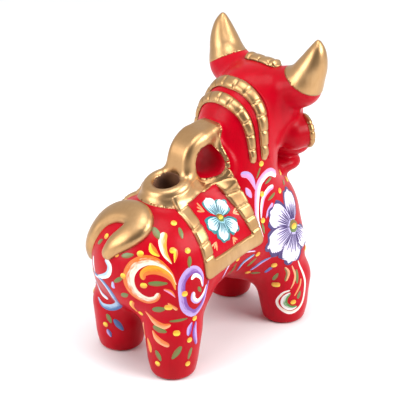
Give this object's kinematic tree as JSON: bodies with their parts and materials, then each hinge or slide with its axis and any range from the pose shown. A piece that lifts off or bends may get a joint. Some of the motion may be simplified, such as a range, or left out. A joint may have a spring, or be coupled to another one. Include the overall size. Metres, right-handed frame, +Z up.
{
  "type": "ceramic bull figurine",
  "caption": "Standing ceramic bull with stub legs, horns, saddle cloth, a round pouring mouth and a loop handle on its back, painted red and gold.",
  "frame": {"origin": "middle of the object's box on the surface that the four soles stand on", "axes": "+X forwards to the muzzle, +Y to the bull's left, +Z up"},
  "size_m": [0.167, 0.091, 0.1894],
  "materials": {
    "red_glaze": "gloss red glaze paint over fired clay, with hand-painted flowers",
    "gold_paint": "satin metallic gold paint over fired clay",
    "eye_white": "gloss white paint with a black pupil"
  },
  "bodies": {
    "root": {"neck": "red_glaze", "skull": "red_glaze", "snout": "red_glaze", "lower_jaw": "red_glaze", "barrel_left": "red_glaze", "leg_front_left": "red_glaze", "leg_rear_left": "red_glaze", "horn_stub_left": "red_glaze", "eye_socket_left": "red_glaze", "saddle_cloth_left": "red_glaze", "barrel_right": "red_glaze", "leg_front_right": "red_glaze", "leg_rear_right": "red_glaze", "horn_stub_right": "red_glaze", "eye_socket_right": "red_glaze", "saddle_cloth_right": "red_glaze", "pouring_spout": "gold_paint", "carrying_handle": "gold_paint", "saddle_mound": "gold_paint", "tail": "gold_paint", "dewlap": "gold_paint", "neck_rope_front": "gold_paint", "neck_rope_rear": "gold_paint", "forelock": "gold_paint", "horn_left": "gold_paint", "eye_ring_left": "gold_paint", "saddle_border_left": "gold_paint", "horn_right": "gold_paint", "eye_ring_right": "gold_paint", "saddle_border_right": "gold_paint", "eyeball_left": "eye_white", "eyeball_right": "eye_white"}
  },
  "joints": []
}
